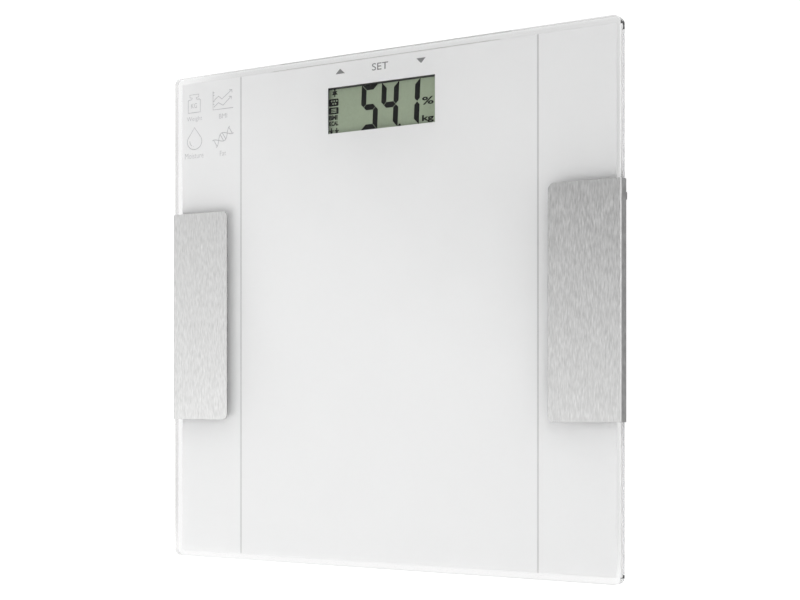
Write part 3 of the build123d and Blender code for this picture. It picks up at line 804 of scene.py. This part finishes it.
    @staticmethod
    def on_helix(place: float, phase: float) -> Point:
        """Where one strand of the helix is.

        Args:
            place: From 0 at its start to 1 at its end.
            phase: Angle by which the strand leads.

        Returns:
            The point, in a picture one wide and one high.
        """
        swing = math.cos(2.0 * math.pi * place + phase)
        along = place - 0.5
        return (0.5 + 0.86 * along - 0.095 * swing, 0.51 + 0.62 * along + 0.175 * swing)


# ---- display -------------------------------------------------------------------------
@dataclass
class Display:
    """The LCD with its lit segments and symbols, and what holds it. Sizes in millimetres."""

    digit_front: float = 105.5
    digit_rear: float = 132.3
    digit_width: float = 11.7
    stroke: float = 3.4
    gap: float = 0.16
    slant: float = 0.045
    clearance: float = 0.005
    thickness: float = 0.03
    bars: tuple[tuple[float, str], ...] = ((-15.7, "afgcd"), (-1.9, "fgbc"), (12.3, "bc"))
    words: tuple[tuple[str, str, Box, float], ...] = (
        ("lcd_percent", "%", (26.2, 116.4, 33.8, 120.9), 0.02),
        ("lcd_kilogram", "kg", (26.1, 106.1, 33.8, 110.5), 0.03),
        ("lcd_bmi", "BMI", (-37.6, 113.8, -31.6, 116.6), 0.05),
        ("lcd_kcal", "KCAL", (-37.6, 110.3, -31.0, 113.1), 0.05),
    )
    point: Box = (10.3, 105.6, 11.9, 107.2)
    # Painted shade: dark strips on the LCD face along the window's rear and sides, in place of the hood's
    # shadow.
    painted_shade_strips: tuple[Box, ...] = (
        (-38.4, 131.75, 38.4, 132.3),
        (-38.4, 104.9, -37.75, 131.75),
        (36.0, 104.9, 38.4, 131.75),
    )
    head: Box = (-34.2, 131.0, -32.9, 132.3)
    arms: Box = (-35.2, 130.1, -31.9, 130.8)
    legs: Box = (-33.95, 127.4, -33.15, 129.4)
    coat: Box = (-35.6, 128.6, -31.5, 131.3)
    tabs: tuple[Box, ...] = ((-37.7, 122.0, -30.9, 126.3), (-37.7, 117.2, -30.9, 121.2))
    dot: float = 1.0
    dot_pitch: float = 1.75
    dot_rows: tuple[tuple[float, float, int], ...] = ((-36.2, 124.5, 3), (-35.3, 122.9, 2))
    stripe: float = 0.5
    stripe_rows: tuple[float, ...] = (118.1, 119.0, 119.9)
    arrows: tuple[float, ...] = (-35.9, -32.2)

    def __post_init__(self) -> None:
        """Finds the face of the LCD."""
        self.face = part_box("lcd_panel")[1].z
        self.low = self.face + self.clearance * MM
        self.high = self.low + self.thickness * MM

    def build(self) -> None:
        """Dresses the display's parts and draws its segments and symbols."""
        LCD_FACE.put_on(node("lcd_panel"))
        HOOD_BLACK.put_on(node("display_hood"))
        FOIL.put_on(node("lcd_reflector"))
        CONTACT_RUBBER.put_on(node("contact_strips"))
        for index, (left, names) in enumerate(self.bars):
            self.draw_digit(left, names, f"lcd_digit_{index + 1}")
        self.draw_point()
        for name, letters, box, weight in self.words:
            self.write(letters, box, name, weight)
        self.draw_painted_shade()
        self.draw_person()
        self.draw_boxes()
        self.draw_arrows()

    def cuts_for(self, name: str, left: float) -> tuple[Box, list[tuple[Point, Point]]]:
        """Rectangle and mitres of one bar of a seven-bar digit.

        Args:
            name: The bar, a to g, clockwise from the rear one, g in the middle.
            left: The digit's left limit, in millimetres.

        Returns:
            The bar's box, and a point and a direction for each cut.
        """
        width, thick, gap = self.digit_width, self.stroke, self.gap
        front, rear = self.digit_front, self.digit_rear
        right = left + width
        centre = (front + rear) / 2
        half = thick / 2
        if name in "ad":
            edge, sign = (rear, 1) if name == "a" else (front, -1)
            box = (left, min(edge, edge - sign * thick), right, max(edge, edge - sign * thick))
            return box, [((left + gap, edge), (-1, -sign)), ((right - gap, edge), (1, -sign))]
        if name == "g":
            box = (left, centre - half, right, centre + half)
            cuts = [((left + half + gap, centre), (-1, sign)) for sign in (-1, 1)]
            return box, cuts + [((right - half - gap, centre), (1, sign)) for sign in (-1, 1)]
        outer, side = (left, -1) if name in "ef" else (right, 1)
        up = 1 if name in "bf" else -1
        edge = rear if up > 0 else front
        box = (
            min(outer, outer - side * thick), min(edge, centre), max(outer, outer - side * thick),
            max(edge, centre),
        )
        point = (outer - side * half, centre + up * gap)
        cuts = [(point, (sign, -up)) for sign in (-1, 1)]
        return box, cuts + [((outer, edge - up * gap), (-side, up))]

    def bar(self, name: str, left: float) -> bmesh.types.BMesh:
        """One bar of a digit, as a flat plate.

        Args:
            name: The bar, a to g.
            left: The digit's left limit, in millimetres.

        Returns:
            The plate.
        """
        box, cuts = self.cuts_for(name, left)
        start = Vector(millimetres(0.0, 0.0, 0.0, 0.0)[:2])
        planes = []
        for (x, y), (way_x, way_y) in cuts:
            point = Vector((start.x + x * MM, start.y + y * MM, 0.0))
            planes.append((point, Vector((way_x, way_y, 0.0)).normalized()))
        return plate(millimetres(*box), planes)

    def draw_digit(self, left: float, names: str, piece: str) -> None:
        """One digit, leaning to the right.

        Args:
            left: Its left limit, in millimetres.
            names: The bars that are lit.
            piece: The piece's name.
        """
        mesh = to_mesh(merged([self.bar(name, left) for name in names]), piece)
        front = millimetres(0.0, self.digit_front, 0.0, 0.0)[1]
        lean = Matrix.Shear("XZ", 4, (0.0, 0.0))
        lean[0][1] = self.slant
        mesh.transform(Matrix.Translation((0, front, 0)) @ lean @ Matrix.Translation((0, -front, 0)))
        add_piece(set_heights(mesh, self.low, self.high), piece, LCD_INK)

    def solid(self, box: Box, corner: float = 0.0) -> bmesh.types.BMesh:
        """A rounded plate on the LCD, in millimetres."""
        return plate(millimetres(*box), corner=corner * MM)

    def place(self, shapes: list[bmesh.types.BMesh], name: str, finish: Finish, lift: float = 0.0) -> None:
        """Puts plates on the LCD as one piece.

        Args:
            shapes: The plates.
            name: The piece's name.
            finish: Their finish.
            lift: How far above the segments they lie, in metres.
        """
        mesh = to_mesh(merged(shapes), name)
        add_piece(set_heights(mesh, self.low + lift, self.high + lift), name, finish)

    def draw_point(self) -> None:
        """The decimal point."""
        self.place([self.solid(self.point, 0.6)], "lcd_point", LCD_INK)

    def write(self, words: str, box: Box, name: str, weight: float) -> None:
        """Letters on the LCD.

        Args:
            words: The letters.
            box: The space that they fill, in millimetres.
            name: The piece's name.
            weight: How much bolder they are than usual.
        """
        mesh = fit(lettering(words, weight), millimetres(*box), self.low, self.high)
        add_piece(mesh, name, LCD_INK)

    def draw_painted_shade(self) -> None:
        """Dark strips of painted shade along the rear and side edges of the window, standing in for the
        hood's shadow on the LCD.
        """
        self.place([self.solid(edge) for edge in self.painted_shade_strips], "lcd_painted_shade", HOOD_BLACK)

    def draw_person(self) -> None:
        """A small standing figure: head, arms, a coat and legs."""
        shapes = [self.solid(self.head, 0.6), self.solid(self.arms, 0.3), self.solid(self.legs)]
        shapes.append(wedge(millimetres(*self.coat), up=True))
        self.place(shapes, "lcd_person", LCD_INK)

    def draw_boxes(self) -> None:
        """Two dark tabs, one with dots and one with bars left clear."""
        self.place([self.solid(tab, 0.7) for tab in self.tabs], "lcd_tabs", LCD_INK)
        clear = []
        for left, y, count in self.dot_rows:
            for x in (left + self.dot_pitch * column for column in range(count)):
                clear.append(self.solid((x, y, x + self.dot, y + self.dot), 0.4))
        clear += [self.solid((-36.1, y, -32.4, y + self.stripe)) for y in self.stripe_rows]
        self.place(clear, "lcd_tab_marks", LCD_FACE, self.thickness * MM)

    def draw_arrows(self) -> None:
        """Two short arrows at the foot of the column."""
        shapes = []
        for x in self.arrows:
            shapes.append(self.solid((x - 0.35, 105.6, x + 0.35, 109.0)))
            shapes.append(self.solid((x - 1.5, 107.1, x + 1.5, 107.7)))
            shapes.append(wedge(millimetres(x - 1.1, 105.2, x + 1.1, 106.9), up=False))
        self.place(shapes, "lcd_arrows", LCD_INK)


# ---- electrodes, control unit, feet and leads ------------------------------------------
@dataclass
class Electrodes:
    """The two steel strips, their terminals and leads."""

    sides: tuple[str, ...] = ("left", "right")

    def build(self) -> None:
        """Dresses the strips, terminals and leads."""
        for side in self.sides:
            STEEL.put_on(node(f"electrode_{side}"))
            TERMINAL_GREY.put_on(node(f"terminal_cap_{side}"))
            LEAD_GREY.put_on(node(f"electrode_lead_{side}"))


@dataclass
class ControlUnit:
    """The housing under the display end, with its board, battery bay and button."""

    def build(self) -> None:
        """Dresses the housing and everything in it."""
        WHITE_SHELL.put_on(node("control_housing"), node("control_cover"), node("battery_door"))
        FOAM.put_on(node("housing_tape"), node("touch_pads"), node("cell_pad"))
        SCREW_ZINC.put_on(node("cover_screws"), node("board_screws"))
        BOARD_GREEN.put_on(node("main_board"))
        CHIP_RESIN.put_on(node("board_parts"), node("switch_body"), node("switch_plunger"))
        NYLON.put_on(node("lead_connectors"))
        CELL_STEEL.put_on(node("coin_cell"))
        SPRING_NICKEL.put_on(node("battery_contact_negative"), node("battery_contact_positive"))
        GREY_SHELL.put_on(node("unit_button"))


@dataclass
class Feet:
    """The four load-cell feet."""

    corners: tuple[str, ...] = ("front_right", "front_left", "rear_right", "rear_left")

    def build(self) -> None:
        """Dresses every foot and its lead."""
        FOAM.put_on(node("foot_tapes"))
        for corner in self.corners:
            WHITE_SHELL.put_on(node(f"foot_housing_{corner}"))
            SENSOR_STEEL.put_on(node(f"load_cell_{corner}"))
            GAUGE_RESIN.put_on(node(f"strain_gauge_{corner}"))
            GREY_SHELL.put_on(node(f"foot_cup_{corner}"))
            SOLE_RUBBER.put_on(node(f"foot_pad_{corner}"))
            LEAD_GREY.put_on(node(f"cell_lead_{corner}"))


@dataclass
class LeadGuides:
    """The trunking and saddles that hold the leads under the glass."""

    def build(self) -> None:
        """Dresses the trunking and the saddles."""
        WHITE_SHELL.put_on(node("wire_channel_left"), node("wire_channel_right"))
        NYLON.put_on(node("lead_clips"))


# ---- studio --------------------------------------------------------------------------
@dataclass
class Studio:
    """Floor, soft light and camera. Lengths in metres, angles in degrees."""

    floor_radius: float = 6.0
    floor_colours: tuple[float, float] = (0.28, 0.3)
    floor_patch: float = 0.4
    floor_seen: float = 0.84
    floor_through_glass: float = 0.56
    floor_mirrored: float = 0.2
    sky: float = 1.58
    shade: float = 1.43
    horizon: float = 0.45
    shade_way: Colour = (-0.25, 0.5, 0.83)
    shade_reach: tuple[float, float] = (0.857, 0.92)
    horizon_reach: tuple[float, float] = (0.05, 0.7)
    lamp_power: float = 12.0
    lamp_size: float = 0.9
    lamp_at: Colour = (-1.0, -0.9, 1.0)
    lens: float = 65.0
    camera_at: Colour = (0.4394, -0.054, 0.731)
    camera_tilt: float = 30.88
    camera_shift: float = 0.1285

    def build(self) -> None:
        """Sets up the whole studio."""
        bpy.context.scene.view_settings.view_transform = "Standard"
        self.make_sky()
        self.make_floor()
        self.make_lamp()
        self.make_camera()

    def make_sky(self) -> None:
        """A white room: dim near the horizon, with one dark patch in its ceiling."""
        world = bpy.data.worlds.new("studio_sky")
        bpy.context.scene.world = world
        world.use_nodes = True
        nodes = world.node_tree.nodes
        links = world.node_tree.links
        way = nodes.new("ShaderNodeTexCoord").outputs["Generated"]
        towards = nodes.new("ShaderNodeVectorMath")
        towards.operation = "DOT_PRODUCT"
        towards.inputs[1].default_value = Vector(self.shade_way).normalized()
        links.new(way, towards.inputs[0])
        height = nodes.new("ShaderNodeSeparateXYZ")
        links.new(way, height.inputs["Vector"])
        levels = (self.sky, self.sky - self.shade)
        patch = self.ease(world, towards.outputs["Value"], self.shade_reach, levels)
        dusk = self.ease(world, height.outputs["Z"], self.horizon_reach, (self.horizon, 1.0))
        light = nodes.new("ShaderNodeMath")
        light.operation = "MULTIPLY"
        links.new(patch, light.inputs[0])
        links.new(dusk, light.inputs[1])
        backdrop = nodes.new("ShaderNodeMath")
        backdrop.operation = "MAXIMUM"
        links.new(nodes.new("ShaderNodeLightPath").outputs["Is Camera Ray"], backdrop.inputs[0])
        links.new(light.outputs["Value"], backdrop.inputs[1])
        links.new(backdrop.outputs["Value"], nodes["Background"].inputs["Strength"])
        nodes["Background"].inputs["Color"].default_value = (1.0, 1.0, 1.0, 1.0)

    @staticmethod
    def ease(
        world: bpy.types.World, source: bpy.types.NodeSocket, reach: Point, ends: Point
    ) -> bpy.types.NodeSocket:
        """Maps a range of the sky to two levels of light, with soft ends.

        Args:
            world: The sky.
            source: What is mapped.
            reach: The source's values where the change starts and ends.
            ends: The levels of light before and after it.

        Returns:
            The mapped value.
        """
        fall = world.node_tree.nodes.new("ShaderNodeMapRange")
        fall.interpolation_type = "SMOOTHSTEP"
        fall.inputs["From Min"].default_value, fall.inputs["From Max"].default_value = reach
        fall.inputs["To Min"].default_value, fall.inputs["To Max"].default_value = ends
        world.node_tree.links.new(source, fall.inputs["Value"])
        return fall.outputs["Result"]

    def make_floor(self) -> None:
        """A round white floor: bright where it is seen, calmer where it is mirrored."""
        shape = bmesh.new()
        bmesh.ops.create_circle(shape, cap_ends=True, segments=96, radius=self.floor_radius)
        floor = bpy.data.objects.new("studio_floor", to_mesh(shape, "studio_floor"))
        bpy.context.scene.collection.objects.link(floor)
        floor.location.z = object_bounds()[0][2]
        graph = Graph("studio_floor_paper")
        dark, light = ((level, level, level) for level in self.floor_colours)
        paper = graph.between(graph.grain((self.floor_patch,) * 3), dark, light)
        graph.link(paper, graph.shader.inputs["Base Color"])
        graph.constant("Roughness", 0.9)
        graph.constant("Specular IOR Level", 0.0)
        graph.shader.inputs["Emission Color"].default_value = (1.0, 1.0, 1.0, 1.0)
        path = graph.nodes.new("ShaderNodeLightPath")
        through = graph.nodes.new("ShaderNodeMath")
        through.operation = "MULTIPLY_ADD"
        through.inputs[1].default_value = self.floor_through_glass - self.floor_mirrored
        through.inputs[2].default_value = self.floor_mirrored
        graph.link(path.outputs["Is Transmission Ray"], through.inputs[0])
        seen = graph.nodes.new("ShaderNodeMath")
        seen.operation = "MULTIPLY_ADD"
        seen.inputs[1].default_value = self.floor_seen - self.floor_mirrored
        graph.link(path.outputs["Is Camera Ray"], seen.inputs[0])
        graph.link(through.outputs["Value"], seen.inputs[2])
        graph.link(seen.outputs["Value"], graph.shader.inputs["Emission Strength"])
        floor.data.materials.append(graph.material)
        floor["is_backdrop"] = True

    def make_lamp(self) -> None:
        """One large soft lamp from the front left."""
        lamp = bpy.data.lights.new("soft_lamp", "AREA")
        lamp.energy = self.lamp_power
        lamp.size = self.lamp_size
        carrier = bpy.data.objects.new("soft_lamp", lamp)
        carrier.location = self.lamp_at
        carrier.rotation_euler = (-Vector(self.lamp_at)).to_track_quat("-Z", "Y").to_euler()
        bpy.context.scene.collection.objects.link(carrier)

    def make_camera(self) -> None:
        """The camera, over the right-hand side and looking down to the left."""
        view = bpy.data.cameras.new("camera")
        view.lens = self.lens
        view.shift_y = self.camera_shift
        view.clip_start = 0.01
        view.dof.use_dof = False
        camera = bpy.data.objects.new("camera", view)
        camera.location = self.camera_at
        camera.rotation_euler = (0.0, math.radians(self.camera_tilt), 0.0)
        bpy.context.scene.collection.objects.link(camera)
        bpy.context.scene.camera = camera


def main() -> None:
    """Builds the studio and every sub-assembly."""
    logging.basicConfig(level=logging.INFO, format="%(message)s")
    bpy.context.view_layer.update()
    Studio().build()
    for assembly in (Platform(), Display(), Electrodes(), ControlUnit(), Feet(), LeadGuides()):
        assembly.build()
        log.info("%s: done", type(assembly).__name__)


if __name__ == "__main__":
    main()
